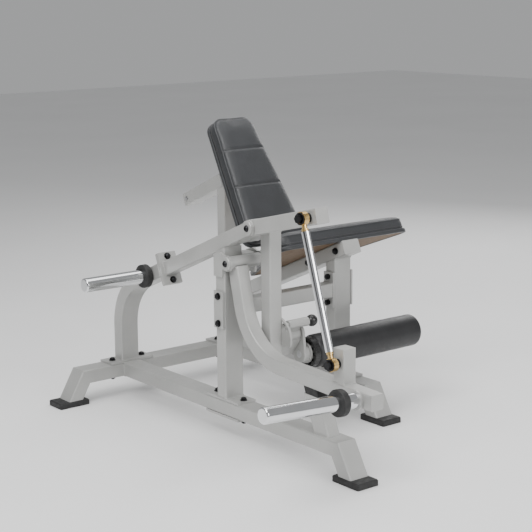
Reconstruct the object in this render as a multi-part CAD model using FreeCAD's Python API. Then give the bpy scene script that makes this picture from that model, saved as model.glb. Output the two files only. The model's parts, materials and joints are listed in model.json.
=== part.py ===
import FreeCAD, Part
import math
import os

# Leg extension machine.  Millimetres, +Z up.  Drawn from the centre of the rear post:
# x runs across the machine, the user faces -y.  Everything is moved at the end so that
# the origin is the middle of the machine's footprint on the floor.

# --- driving dimensions -----------------------------------------------------------------
TUBE_W = 75.0            # big frame tube, wide side
TUBE_H = 50.0            # big frame tube, narrow side, and the square tube
WALL = 3.0
TUBE_CORNER = 5.0
PLATE = 8.0              # every flange, base and fork plate
BASE_TOP = 125.0
BASE_MID = BASE_TOP - TUBE_H / 2
BASE_BOTTOM = BASE_TOP - TUBE_H
LEG_LEAN = 30.0
PAD_LENGTH = 120.0
PAD_WIDTH = 85.0
PAD_HEIGHT = 20.0
PAD_OVERHANG = 40.0

REAR_NEAR_X = -211.0     # top outer corners of the rear cross beam
REAR_FAR_X = 688.0
NEAR_RAIL_FRONT_Y = -1225.0
SEAT_X = 482.0           # centre plane of the seat side
FAR_RAIL_FRONT_Y = -823.0
UPRIGHT_Y = -640.0

ARM_SLOPE = 23.0         # static upper arm and the curved post's upper end
POST_CORNER_Z = 393.0
POST_BEND_RADIUS = 200.0
POST_FLANGE_Y = -282.0

SWING_Y, SWING_Z = -788.0, 727.5        # swing lever pivot
LEVER_Y, LEVER_Z = -688.0, 598.5        # lower lever pivot
FORK_NEAR_X = -25.0
FORK_FAR_X = 90.0
BRACKET_NEAR_X = -37.5
SHAFT_R = 12.5
BUSH_R = 16.0
SWING_HUB_R = 27.0
LEVER_HUB_R = 22.0
RUNNING = 0.05           # radial play of a shaft in its bush
SIDE_GAP = 0.4           # play between a hub and its fork

SWING_ARM_SLOPE = 13.6
SWING_ARM_END_Y = -1113.0
SWING_POST_X = 61.0       # centre of the post, one plane farther than the levers
SWING_POST_Y = -788.0
SWING_POST_BOTTOM = 298.0

LEVER_CORNER_Y, LEVER_CORNER_Z = -760.6, 300.6
LEVER_BEND_RADIUS = 215.0
LEVER_END_Y, LEVER_END_Z = -1362.0, 277.1
LEVER_POST_Y = -1216.0
LEVER_POST_TOP = 416.0

LINK_X = -48.0
LINK_TOP_Y, LINK_TOP_Z = -1079.0, 798.0
LINK_LOW_Y, LINK_LOW_Z = -1214.0, 370.0
LINK_ROD_R = 13.0

ARM_HUB_Y, ARM_HUB_Z = -788.0, 351.0    # roller arm pivot
ARM_HUB_R = 21.5
ARM_HUB_X0, ARM_HUB_X1 = 94.5, 179.0
ARM_SHAFT_R = 10.0
PIN_HUB_Y, PIN_HUB_Z = -822.5, 395.0    # pull pin housing beside that pivot
ROLLER_Y, ROLLER_Z = -798.0, 280.0
FOAM_X0, FOAM_X1 = 222.0, 690.0
FOAM_R = 57.0

SEAT_SLOPE = 23.3
SEAT_FRONT_Y, SEAT_FRONT_Z = -700.0, 617.0   # top front corner of the seat beam
SEAT_LENGTH = 470.0
SEAT_FRONT_HALF = 322.0
SEAT_REAR_HALF = 115.0
CUSHION = 53.0
BOARD = 12.0

BACK_LEAN = 34.0
BACK_Y, BACK_Z = -197.0, 760.0          # a point on the backrest's front face
BACK_UP, BACK_DOWN = 297.0, 229.0
BACK_TOP_HALF, BACK_LOW_HALF = 95.0, 143.0

SLIDE_SLOPE = 23.5
SLIDE_REAR_Y, SLIDE_REAR_Z = 256.0, 673.5    # top rear corner of the outer slide tube
SLIDE_FRONT_Y = 11.0

HORN_R = 25.0
NECK_R = 24.0             # horn inside its collar and behind it
LOAD_HORN_Y, LOAD_HORN_Z = -1300.0, 276.0
LOAD_HORN_TILT = 3.8
LOAD_HORN_TIP_X = -384.0
STORE_HORN_Y, STORE_HORN_Z = -211.0, 482.6
STORE_HORN_TIP_X = -299.0

STOP_LEAN = 22.0
BOLT_R = 6.0
HOLE_R = 6.5

Vec = FreeCAD.Vector
X = Vec(1, 0, 0)
Y = Vec(0, 1, 0)
Z = Vec(0, 0, 1)


# --- helpers ----------------------------------------------------------------------------
def unit_yz(forward, up):
    """Unit vector in the side plane: forward is towards the user's feet."""
    v = Vec(0, -forward, up)
    v.normalize()
    return v


def slope(degrees):
    a = math.radians(degrees)
    return unit_yz(math.cos(a), math.sin(a))


def square_to(degrees):
    """Normal of a sloping line, pointing up."""
    a = math.radians(degrees)
    return Vec(0, math.sin(a), math.cos(a))


def box(x0, x1, y0, y1, z0, z1):
    return Part.makeBox(x1 - x0, y1 - y0, z1 - z0, Vec(x0, y0, z0))


def rod(point, axis, radius, length):
    return Part.makeCylinder(radius, length, point, axis)


def cross_rod(x0, x1, y, z, radius):
    return rod(Vec(x0, y, z), X, radius, x1 - x0)


def section(point, u, v, width, height, radius):
    """Rounded rectangle centred on point, width along u and height along v."""
    arcs = []
    for i, (su, sv) in enumerate(((1, 1), (-1, 1), (-1, -1), (1, -1))):
        cu = su * (width / 2 - radius)
        cv = sv * (height / 2 - radius)
        three = []
        for step in range(3):
            a = math.radians(90 * i + 45 * step)
            three.append(point + u * (cu + radius * math.cos(a)) + v * (cv + radius * math.sin(a)))
        arcs.append(three)
    edges = []
    for i, arc in enumerate(arcs):
        edges.append(Part.Arc(*arc).toShape())
        edges.append(Part.makeLine(arc[2], arcs[(i + 1) % 4][0]))
    return Part.Wire(edges)


def bar(start, end, side, width, height, radius=TUBE_CORNER):
    """Solid bar with rounded edges, its width along side."""
    run = end - start
    up = run.cross(side)
    up.normalize()
    return Part.Face(section(start, side, up, width, height, radius)).extrude(run)


def tube(start, end, side, width=TUBE_W, height=TUBE_H, lid=0.0):
    """Rectangular tube, closed at its far end by a lid of that thickness."""
    stop = end - start
    stop.normalize()
    inner = bar(start, end - stop * lid, side, width - 2 * WALL, height - 2 * WALL, TUBE_CORNER - WALL)
    return bar(start, end, side, width, height).cut(inner)


def bent_path(start, corner, end, radius):
    """Two straights joined by an arc."""
    d0 = start - corner
    d1 = end - corner
    d0.normalize()
    d1.normalize()
    half = d0.getAngle(d1) / 2
    bisector = d0 + d1
    bisector.normalize()
    t0 = corner + d0 * (radius / math.tan(half))
    t1 = corner + d1 * (radius / math.tan(half))
    middle = corner + bisector * (radius / math.sin(half) - radius)
    arc = Part.Arc(t0, middle, t1).toShape()
    return Part.Wire([Part.makeLine(start, t0), arc, Part.makeLine(t1, end)])


def bent_tube(start, corner, end, radius, side, width, height, lid=0.0):
    path = bent_path(start, corner, end, radius)
    stop = end - corner
    stop.normalize()
    run = corner - start
    up = run.cross(side)
    up.normalize()
    outer = path.makePipeShell([section(start, side, up, width, height, TUBE_CORNER)], True, False)
    inner_wire = section(start, side, up, width - 2 * WALL, height - 2 * WALL, TUBE_CORNER - WALL)
    inner_path = bent_path(start, corner, end - stop * lid, radius)
    inner = inner_path.makePipeShell([inner_wire], True, False)
    return outer.cut(inner)


def trim(shape, point, normal):
    """Cut away everything beyond the plane through point, on its normal's side."""
    return shape.cut(rod(point, normal, 2500, 2500))


def fuse(first, *others):
    for other in others:
        first = first.fuse(other)
    return first.removeSplitter()


def group(solids):
    return Part.makeCompound(solids)


def prism_x(x0, x1, outline):
    """Plate of constant outline in the side plane, outline given as (y, z)."""
    points = [Vec(x0, y, z) for y, z in outline]
    return Part.Face(Part.makePolygon(points + points[:1])).extrude(Vec(x1 - x0, 0, 0))


def hexagon(point, axis, across_flats, height):
    """Hexagonal prism standing on point."""
    side = axis.cross(Z if abs(axis.z) < 0.9 else Y)
    side.normalize()
    other = axis.cross(side)
    r = across_flats / math.sqrt(3)
    corners = []
    for i in range(7):
        a = math.radians(60 * i)
        corners.append(point + side * (r * math.cos(a)) + other * (r * math.sin(a)))
    return Part.Face(Part.makePolygon(corners)).extrude(axis * height)


def aim(shape, point, direction):
    """Move a shape drawn upright at the zero point so that it stands on point."""
    shape.Placement = FreeCAD.Placement(point, FreeCAD.Rotation(Z, direction))
    return shape


def bolt(seat, inward, length, radius=BOLT_R):
    """Bolt whose washer lies on seat; the shank runs inward from there."""
    zero = Vec(0, 0, 0)
    flange = rod(zero, Z, radius * 2, 2.5)
    head = hexagon(Z * 2.5, Z, radius * 3, radius)
    crown = Part.makeCone(radius * 1.4, radius * 0.7, radius * 0.5, Z * (2.5 + radius), Z)
    return aim(fuse(flange, head, crown, rod(zero, Z * -1, radius, length)), seat, inward * -1)


def nut(seat, outward, radius=BOLT_R):
    body = hexagon(Vec(0, 0, 0), Z, radius * 3, radius * 1.7)
    return aim(body.cut(rod(Vec(0, 0, 0), Z, radius, radius * 2)), seat, outward)


def washer(point, axis, outer, inner, thickness):
    return rod(point, axis, outer, thickness).cut(rod(point, axis, inner, thickness))


def chamfer_rim(shape, height, size):
    """Chamfer the edges that lie at one level."""
    edges = [e for e in shape.Edges if all(abs(v.Point.z - height) < 0.01 for v in e.Vertexes)]
    return shape.makeChamfer(size, edges)


PARTS = {}


def keep(name, shape):
    PARTS[name] = shape


# --- base frame -------------------------------------------------------------------------
LEAN = math.radians(LEG_LEAN)


def mitre_normal(out):
    return out * math.cos(LEAN) - Z * math.sin(LEAN)


def leg_middle(corner, out):
    along = Z * -math.cos(LEAN) - out * math.sin(LEAN)
    return corner + along * (TUBE_H / 2 / math.cos(LEAN))


def leg_down(out):
    return out * math.sin(LEAN) - Z * math.cos(LEAN)


def splayed_leg(corner, out, side):
    """Slanted leg mitred to the end of a rail whose top outer edge is at corner."""
    middle = leg_middle(corner, out)
    leg = tube(middle - leg_down(out) * 80, middle + leg_down(out) * 160, side)
    leg = trim(leg, corner, mitre_normal(out) * -1)
    return trim(leg, Z * PAD_HEIGHT, Z * -1)


def foot_pad(corner, out, side):
    """Rubber foot: a chamfered block with a plug that fills the leg's end."""
    drop = BASE_TOP - PAD_HEIGHT
    outer = drop * math.tan(LEAN) + PAD_OVERHANG
    middle = Vec(corner.x, corner.y, 0) + out * (outer - PAD_LENGTH / 2)
    low = middle - out * (PAD_LENGTH / 2) - side * (PAD_WIDTH / 2)
    high = middle + out * (PAD_LENGTH / 2) + side * (PAD_WIDTH / 2)
    block = box(min(low.x, high.x), max(low.x, high.x), min(low.y, high.y), max(low.y, high.y), 0, PAD_HEIGHT)
    block = block.makeFillet(5.0, [e for e in block.Edges if e.BoundBox.ZLength > PAD_HEIGHT / 2])
    block = chamfer_rim(block, PAD_HEIGHT, 4.0)
    start = leg_middle(corner, out)
    plug = bar(start, start + leg_down(out) * 150, side, TUBE_W - 2 * WALL - 0.6, TUBE_H - 2 * WALL - 0.6, 2.0)
    plug = trim(trim(plug, Z * (PAD_HEIGHT + 22), Z), Z * (PAD_HEIGHT - 2), Z * -1)
    return fuse(block, plug)


CORNERS = [
    (Vec(REAR_NEAR_X, 0, BASE_TOP), X * -1, Y),
    (Vec(REAR_FAR_X, 0, BASE_TOP), X, Y),
    (Vec(0, NEAR_RAIL_FRONT_Y, BASE_TOP), Y * -1, X),
    (Vec(SEAT_X, FAR_RAIL_FRONT_Y, BASE_TOP), Y * -1, X),
]
keep("base_legs", group([splayed_leg(*c) for c in CORNERS]))
keep("foot_pads", group([foot_pad(*c) for c in CORNERS]))


def drill(shape, places, z0, z1, radius=HOLE_R):
    for x, y in places:
        shape = shape.cut(rod(Vec(x, y, z0), Z, radius, z1 - z0))
    return shape


CROSS_BOLTS = [(-64, 0), (64, 0), (SEAT_X - 64, 0), (SEAT_X + 64, 0)]
RAIL_BOLTS = [(x, UPRIGHT_Y + dy) for x in (0, SEAT_X) for dy in (-72.5, 72.5)]

beam = tube(Vec(REAR_NEAR_X - 60, 0, BASE_MID), Vec(REAR_FAR_X + 60, 0, BASE_MID), Y)
for corner, out, side in CORNERS[:2]:
    beam = trim(beam, corner, mitre_normal(out))
keep("rear_crossbeam", drill(beam, CROSS_BOLTS, 60, 140))

for name, (corner, out, side) in zip(("near_rail", "far_rail"), CORNERS[2:]):
    rail = tube(Vec(corner.x, -TUBE_W / 2, BASE_MID), Vec(corner.x, corner.y - 60, BASE_MID), X)
    rail = trim(rail, corner, mitre_normal(out))
    keep(name, drill(rail, RAIL_BOLTS, 60, 140))


def rail_plate(x, z0):
    plate = box(x - TUBE_W / 2, x + TUBE_W / 2, UPRIGHT_Y - 90, UPRIGHT_Y + 90, z0, z0 + PLATE)
    return drill(plate, RAIL_BOLTS, z0, z0 + PLATE)


def cross_plate(x):
    plate = box(x - 92.5, x + 92.5, -TUBE_W / 2, TUBE_W / 2, BASE_TOP, BASE_TOP + PLATE)
    return drill(plate, CROSS_BOLTS, BASE_TOP, BASE_TOP + PLATE)


keep("backing_plates", group([rail_plate(x, BASE_BOTTOM - PLATE) for x in (0, SEAT_X)]))
POST_Z0 = BASE_TOP + PLATE

# --- near upright, upper arm and their pivots -------------------------------------------
ARM_DIR = slope(ARM_SLOPE)
ARM_UP = square_to(ARM_SLOPE)
SWING_AT = Vec(0, SWING_Y, SWING_Z)
LEVER_AT = Vec(0, LEVER_Y, LEVER_Z)
CROSS_Z = 436.0
CROSS_BOLT_Z = (CROSS_Z - 46, CROSS_Z + 46)
BRACKET_OUTLINE = [
    (UPRIGHT_Y + 23, LEVER_Z - 50), (UPRIGHT_Y + 23, LEVER_Z + 22), (UPRIGHT_Y - 12, LEVER_Z + 33),
    (LEVER_Y + 9, LEVER_Z + 24), (LEVER_Y + 2, LEVER_Z), (LEVER_Y + 20, LEVER_Z - 16), (LEVER_Y + 26, LEVER_Z - 50),
]


def lever_bracket(x0):
    """Plate that carries one end of the lower lever's shaft."""
    plate = prism_x(x0, x0 + PLATE, BRACKET_OUTLINE)
    plate = fuse(plate, cross_rod(x0, x0 + PLATE, LEVER_Y, LEVER_Z, 26.0))
    return plate.cut(cross_rod(x0, x0 + PLATE, LEVER_Y, LEVER_Z, SHAFT_R))


def cross_drill(shape, x0, x1, y, levels, radius=HOLE_R):
    for z in levels:
        shape = shape.cut(cross_rod(x0, x1, y, z, radius))
    return shape


upright = tube(Vec(0, UPRIGHT_Y, POST_Z0), Vec(0, UPRIGHT_Y, 720), X)
upright = trim(upright, SWING_AT - ARM_UP * (TUBE_H / 2 + 0.05), ARM_UP)
upright = cross_drill(upright, -40, 40, UPRIGHT_Y, CROSS_BOLT_Z)
upright = fuse(upright, rail_plate(0, BASE_TOP), lever_bracket(BRACKET_NEAR_X - PLATE))
keep("near_upright", upright)

stub = tube(Vec(TUBE_W / 2, UPRIGHT_Y, LEVER_Z - 4), Vec(FORK_FAR_X, UPRIGHT_Y, LEVER_Z - 4), Y, 50, 50)
keep("lever_bracket_far", fuse(stub, lever_bracket(FORK_FAR_X)))

post_end = Vec(0, POST_FLANGE_Y, POST_CORNER_Z - POST_FLANGE_Y * math.tan(math.radians(ARM_SLOPE)))
post = bent_tube(Vec(0, 0, POST_Z0), Vec(0, 0, POST_CORNER_Z), post_end, POST_BEND_RADIUS, X, TUBE_W, TUBE_H)


def arm_flange(start):
    """Bolted joint plate between the curved post and the upper arm."""
    plate = bar(start, start + ARM_DIR * PLATE, X, TUBE_W, 116, 4.0)
    for side in (-1, 1):
        plate = plate.cut(rod(start + ARM_UP * (43 * side), ARM_DIR, HOLE_R, PLATE))
    return plate


keep("curved_post", fuse(post, cross_plate(0), arm_flange(post_end)))

arm_start = post_end + ARM_DIR * PLATE
arm_end = SWING_AT - ARM_DIR * 79.0
arm = tube(arm_start + ARM_DIR * PLATE, arm_end, X, 50, 50, 4)
arm = fuse(arm, arm_flange(arm_start))


def fork_plate(x0, reach):
    """Round-nosed plate that carries one end of the swing shaft."""
    back = SWING_AT - ARM_DIR * reach
    middle = Vec(x0 + PLATE / 2, 0, 0)
    plate = bar(back + middle, SWING_AT + middle, X, PLATE, 44, 1.0)
    plate = fuse(plate, cross_rod(x0, x0 + PLATE, SWING_Y, SWING_Z, 26.0))
    if x0 < 0:
        weld = middle + X * 1.0
        plate = fuse(plate, bar(back + weld, arm_end - ARM_DIR * 3 + weld, X, PLATE, 44, 1.0))
    return plate.cut(cross_rod(x0, x0 + PLATE, SWING_Y, SWING_Z, SHAFT_R))


keep("upper_arm", fuse(arm, fork_plate(FORK_NEAR_X - PLATE, 120)))
stub_at = SWING_AT - ARM_DIR * 106
stub = tube(stub_at + X * 25, stub_at + X * FORK_FAR_X, ARM_DIR, 50, 44)
keep("swing_fork_far", fuse(stub, fork_plate(FORK_FAR_X, 132)))

# --- crossmember ------------------------------------------------------------------------
NEAR_FACE = SEAT_X - TUBE_W / 2
FAR_FACE = SEAT_X + TUBE_W / 2


def side_plate(x0):
    plate = box(x0, x0 + PLATE, UPRIGHT_Y - 25, UPRIGHT_Y + 25, CROSS_Z - 62.5, CROSS_Z + 62.5)
    return cross_drill(plate, x0, x0 + PLATE, UPRIGHT_Y, CROSS_BOLT_Z)


cross = tube(Vec(37.5 + PLATE, UPRIGHT_Y, CROSS_Z), Vec(NEAR_FACE - PLATE, UPRIGHT_Y, CROSS_Z), Y, 50, 50)
keep("crossmember", fuse(cross, side_plate(37.5), side_plate(NEAR_FACE - PLATE)))
keep("clamp_plates", group([side_plate(-37.5 - PLATE), side_plate(FAR_FACE)]))

# --- seat side --------------------------------------------------------------------------
SEAT_DIR = slope(SEAT_SLOPE)
SEAT_UP = square_to(SEAT_SLOPE)
SEAT_CORNER = Vec(SEAT_X, SEAT_FRONT_Y, SEAT_FRONT_Z)
SEAT_MID = SEAT_CORNER - SEAT_UP * (TUBE_H / 2)
BEAM_BOLTS = (45.0, 205.0)
SEAT_SCREWS = (70.0, 330.0)

post = tube(Vec(SEAT_X, UPRIGHT_Y, POST_Z0), Vec(SEAT_X, UPRIGHT_Y, 640), X)
post = trim(post, SEAT_CORNER - SEAT_UP * TUBE_H, SEAT_UP)
post = cross_drill(post, NEAR_FACE - 2, FAR_FACE + 2, UPRIGHT_Y, CROSS_BOLT_Z)
keep("front_seat_post", fuse(post, rail_plate(SEAT_X, BASE_TOP)))

beam = tube(SEAT_MID - SEAT_DIR * 800, SEAT_MID, X, TUBE_W, TUBE_H, 4)
beam = trim(beam, Vec(0, -TUBE_H / 2, 0), Y)
for s in BEAM_BOLTS:
    at = SEAT_MID - SEAT_DIR * s
    beam = beam.cut(cross_rod(NEAR_FACE - 2, FAR_FACE + 2, at.y, at.z, HOLE_R))
for s in SEAT_SCREWS:
    at = SEAT_CORNER - SEAT_DIR * s
    slot = bar(at + SEAT_DIR * 20 - SEAT_UP * 60, at + SEAT_DIR * 20 + SEAT_UP * 20, X, 11, 11, 5.0)
    slot = fuse(slot, bar(at - SEAT_UP * 60, at + SEAT_UP * 20, X, 11, 11, 5.0))
    beam = beam.cut(slot)
keep("seat_beam", beam)


def trapezoid(centre, along, across, near_end, near_half, far_end, far_half, radius):
    """Rounded trapezoid wire: its half widths at two distances along."""
    ends = [(near_end, -near_half), (near_end, near_half), (far_end, far_half), (far_end, -far_half)]
    points = [centre + along * a + across * b for a, b in ends]
    edges = []
    previous = None
    first = None
    for i in range(4):
        corner = points[i]
        d0 = points[i - 1] - corner
        d1 = points[(i + 1) % 4] - corner
        d0.normalize()
        d1.normalize()
        half = d0.getAngle(d1) / 2
        t0 = corner + d0 * (radius / math.tan(half))
        t1 = corner + d1 * (radius / math.tan(half))
        bisector = d0 + d1
        bisector.normalize()
        middle = corner + bisector * (radius / math.sin(half) - radius)
        if previous is not None:
            edges.append(Part.makeLine(previous, t0))
        else:
            first = t0
        edges.append(Part.Arc(t0, middle, t1).toShape())
        previous = t1
    edges.append(Part.makeLine(previous, first))
    return Part.Wire(edges)


def slab(wire, direction, thickness):
    return Part.Face(wire).extrude(direction * thickness)


def seat_outline(shrink, radius, level):
    base = SEAT_CORNER + SEAT_UP * level
    return trapezoid(base, SEAT_DIR * -1, X, shrink, SEAT_FRONT_HALF - shrink,
                     SEAT_LENGTH - shrink, SEAT_REAR_HALF - shrink, radius)


seat_board = slab(seat_outline(5, 40, 0), SEAT_UP, BOARD)
for s in SEAT_SCREWS:
    at = SEAT_CORNER - SEAT_DIR * s
    seat_board = seat_board.cut(rod(at, SEAT_UP, 4.0, BOARD))
keep("seat_board", seat_board)
cushion = slab(seat_outline(0, 45, BOARD), SEAT_UP, CUSHION)


def soften(shape, level_point, normal, radius):
    """Round the edges of the face that lies on a plane."""
    edges = []
    for edge in shape.Edges:
        ends = [v.Point for v in edge.Vertexes]
        if all(abs((p - level_point).dot(normal)) < 0.01 for p in ends):
            edges.append(edge)
    return shape.makeFillet(radius, edges)


keep("seat_pad", soften(cushion, SEAT_CORNER + SEAT_UP * (BOARD + CUSHION), SEAT_UP, 16.0))

# --- backrest ---------------------------------------------------------------------------
SLIDE_DIR = slope(SLIDE_SLOPE)
SLIDE_UP = square_to(SLIDE_SLOPE)
SLIDE_LENGTH = (SLIDE_REAR_Y - SLIDE_FRONT_Y) / math.cos(math.radians(SLIDE_SLOPE))
SLIDE_REAR = Vec(SEAT_X, SLIDE_REAR_Y, SLIDE_REAR_Z) - SLIDE_UP * (TUBE_H / 2)
SLIDE_FRONT = SLIDE_REAR + SLIDE_DIR * SLIDE_LENGTH
PIN_ALONG = 170.0
PIN_AT = SLIDE_REAR + SLIDE_DIR * PIN_ALONG

post = tube(Vec(SEAT_X, 0, POST_Z0), Vec(SEAT_X, 0, 800), X)
post = trim(post, SLIDE_REAR - SLIDE_UP * (TUBE_H / 2), SLIDE_UP)
keep("rear_seat_post", fuse(post, cross_plate(SEAT_X)))

PIN_R = 5.0
PIN_HOUSING_R = 13.0
PIN_HOUSING = 30.0
outer = tube(SLIDE_REAR, SLIDE_FRONT, X)
outer = fuse(outer, cross_rod(FAR_FACE - WALL, FAR_FACE + PIN_HOUSING, PIN_AT.y, PIN_AT.z, PIN_HOUSING_R))
outer = outer.cut(bar(SLIDE_REAR, SLIDE_FRONT, X, TUBE_W - 2 * WALL, TUBE_H - 2 * WALL, TUBE_CORNER - WALL))
outer = outer.cut(cross_rod(FAR_FACE - 10, FAR_FACE + PIN_HOUSING, PIN_AT.y, PIN_AT.z, PIN_R + RUNNING))
STOP_BOLT = SLIDE_REAR + SLIDE_DIR * 24
outer = outer.cut(cross_rod(NEAR_FACE - 2, FAR_FACE + 2, STOP_BOLT.y, STOP_BOLT.z, 4.5))
keep("slide_outer_tube", outer)

BACK_FACE = Vec(SEAT_X, BACK_Y, BACK_Z)
BACK_AXIS = Vec(0, math.sin(math.radians(BACK_LEAN)), math.cos(math.radians(BACK_LEAN)))
BACK_OUT = Vec(0, -math.cos(math.radians(BACK_LEAN)), math.sin(math.radians(BACK_LEAN)))
PLATE_LEVEL = -(CUSHION + BOARD)
SLIDE_CLEAR = 0.5

inner_w = TUBE_W - 2 * WALL - 2 * SLIDE_CLEAR
inner_h = TUBE_H - 2 * WALL - 2 * SLIDE_CLEAR
mount_back = BACK_FACE + BACK_OUT * (PLATE_LEVEL - 6)
inner = bar(SLIDE_REAR + SLIDE_DIR * 95, SLIDE_REAR + SLIDE_DIR * 520, X, inner_w, inner_h, 3.0)
inner = inner.cut(bar(SLIDE_REAR + SLIDE_DIR * 90, SLIDE_REAR + SLIDE_DIR * 525, X, inner_w - 6, inner_h - 6, 1.5))
inner = trim(inner, mount_back, BACK_OUT)
for i in range(-3, 3):
    at = PIN_AT + SLIDE_DIR * (25 * i)
    inner = inner.cut(cross_rod(SEAT_X, FAR_FACE, at.y, at.z, PIN_R + 0.5))
mount_centre = mount_back + BACK_AXIS * ((SLIDE_FRONT - mount_back).dot(SLIDE_UP) / BACK_AXIS.dot(SLIDE_UP))
mount = bar(mount_centre, mount_centre + BACK_OUT * 6, X, 120, 160, 8.0)
BACK_SCREWS = [X * dx + BACK_AXIS * dz for dx in (-46, 46) for dz in (-64, 64)]
for offset in BACK_SCREWS:
    mount = mount.cut(rod(mount_centre + offset, BACK_OUT, 4.0, 6))
keep("slide_inner_tube", fuse(inner, mount))


def back_outline(shrink, radius, level):
    base = BACK_FACE + BACK_OUT * level
    return trapezoid(base, BACK_AXIS, X, -BACK_DOWN + shrink, BACK_LOW_HALF - shrink,
                     BACK_UP - shrink, BACK_TOP_HALF - shrink, radius)


back_board = slab(back_outline(5, 42, PLATE_LEVEL), BACK_OUT, BOARD)
for offset in BACK_SCREWS:
    back_board = back_board.cut(rod(mount_centre + BACK_OUT * 6 + offset, BACK_OUT, 4.0, BOARD))
keep("backrest_board", back_board)
cushion = slab(back_outline(0, 47, -CUSHION), BACK_OUT, CUSHION)
keep("backrest_pad", soften(cushion, BACK_FACE, BACK_OUT, 14.0))

pin = cross_rod(SEAT_X + inner_w / 2 + 0.5, FAR_FACE + PIN_HOUSING + 14, PIN_AT.y, PIN_AT.z, PIN_R)
keep("slide_pin", pin)
knob_x = FAR_FACE + PIN_HOUSING + 5
knob = Part.makeSphere(16.0, Vec(knob_x + 14, PIN_AT.y, PIN_AT.z))
knob = trim(knob, Vec(knob_x, 0, 0), X * -1)
keep("slide_pin_knob", knob.cut(cross_rod(knob_x - 5, FAR_FACE + PIN_HOUSING + 14, PIN_AT.y, PIN_AT.z, PIN_R)))

# --- lower lever ------------------------------------------------------------------------
LEVER_CORNER = Vec(0, LEVER_CORNER_Y, LEVER_CORNER_Z)
LEVER_END = Vec(0, LEVER_END_Y, LEVER_END_Z)
lever_down = LEVER_CORNER - LEVER_AT
lever_down.normalize()
lever_out = LEVER_END - LEVER_CORNER
lever_out.normalize()
LEVER_SLOPE = -math.degrees(math.atan2(LEVER_CORNER_Z - LEVER_END_Z, LEVER_CORNER_Y - LEVER_END_Y))
LEVER_UP = square_to(LEVER_SLOPE)

lever = bent_tube(LEVER_AT + lever_down * 14, LEVER_CORNER, LEVER_END, LEVER_BEND_RADIUS, X, 50, 50, 4)
lever = lever.cut(cross_rod(-40, 100, LEVER_Y, LEVER_Z, LEVER_HUB_R))
horn_dir = Vec(-math.cos(math.radians(LOAD_HORN_TILT)), 0, math.sin(math.radians(LOAD_HORN_TILT)))
horn_root = Vec(-25, LOAD_HORN_Y, LOAD_HORN_Z)
root_disc = trim(rod(horn_root - horn_dir * 4, horn_dir, 30.0, 14.0), Vec(-25, 0, 0), X)
keep("lower_lever", fuse(lever, root_disc))


def hub(x0, x1, y, z, radius, bore):
    return cross_rod(x0, x1, y, z, radius).cut(cross_rod(x0, x1, y, z, bore))


def bushes(x0, x1, y, z, radius, bore, length=30.0):
    """A plain bush flush with each end of a hub."""
    return group([hub(x0, x0 + length, y, z, radius, bore), hub(x1 - length, x1, y, z, radius, bore)])


x0 = BRACKET_NEAR_X + SIDE_GAP
x1 = FORK_FAR_X - SIDE_GAP
keep("lever_hub", hub(x0, x1, LEVER_Y, LEVER_Z, LEVER_HUB_R, BUSH_R))
keep("lever_bushes", bushes(x0, x1, LEVER_Y, LEVER_Z, BUSH_R, SHAFT_R + RUNNING))
keep("lever_shaft", cross_rod(BRACKET_NEAR_X - PLATE, FORK_FAR_X + PLATE, LEVER_Y, LEVER_Z, SHAFT_R))

post = tube(Vec(0, LEVER_POST_Y, 290), Vec(0, LEVER_POST_Y, LEVER_POST_TOP), X, 50, 50, 4)
post = trim(post, LEVER_END + LEVER_UP * 25, LEVER_UP * -1)
keep("lever_post", post)


def horn(root, axis, length, neck):
    """Plate horn: a steel tube with a slimmer neck for its collar and a domed end cap."""
    sleeve = rod(root + axis * neck, axis, HORN_R, length - 8 - neck)
    body = fuse(rod(root, axis, NECK_R, neck), sleeve).cut(rod(root, axis, HORN_R - 5, length - 8))
    cap = rod(root + axis * (length - 8), axis, HORN_R, 8)
    tip = cap.Edges
    rim = [e for e in tip if (e.BoundBox.Center - (root + axis * length)).Length < 1.0]
    cap = cap.makeFillet(5.0, rim)
    return fuse(body, cap)


def horn_ring(root, axis, start):
    """Rubber collar that keeps plates off the frame."""
    ring = washer(root + axis * start, axis, 41.5, NECK_R, 25.0)
    rims = [e for e in ring.Edges if e.Length > 2 * math.pi * 40 and e.Curve.TypeId == "Part::GeomCircle"]
    return ring.makeFillet(4.0, rims)


load_length = (horn_root.x - LOAD_HORN_TIP_X) / math.cos(math.radians(LOAD_HORN_TILT))
keep("loading_horn", horn(horn_root + horn_dir * 10, horn_dir, load_length - 10, 73.5))
keep("loading_horn_ring", horn_ring(horn_root, horn_dir, 58.0))
store_root = Vec(-37.5, STORE_HORN_Y, STORE_HORN_Z)
keep("storage_horn", horn(store_root, X * -1, store_root.x - STORE_HORN_TIP_X, 27.5))
keep("storage_horn_ring", horn_ring(store_root, X * -1, 2.0))

# --- stop under the lower lever ---------------------------------------------------------
stop_up = Vec(0, math.sin(math.radians(STOP_LEAN)), math.cos(math.radians(STOP_LEAN)))
stop_foot = Vec(0, -1134.5, BASE_TOP)
bumper_seat = LEVER_END - LEVER_UP * (25 + 22)
stop = bar(stop_foot - stop_up * 60, stop_foot + stop_up * 200, X, 50, 64)
hollow = bar(stop_foot - stop_up * 60, stop_foot + stop_up * 200, X, 44, 58, 2.0)
stop = stop.cut(trim(hollow, bumper_seat - LEVER_UP * 4, LEVER_UP))
stop = trim(trim(stop, Z * BASE_TOP, Z * -1), bumper_seat, LEVER_UP)
keep("stop_post", stop)
bumper = bar(stop_foot, stop_foot + stop_up * 200, X, 46, 56, 4.0)
bumper = trim(bumper, bumper_seat, LEVER_UP * -1)
keep("stop_bumper", trim(bumper, LEVER_END - LEVER_UP * 25.3, LEVER_UP))

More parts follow.
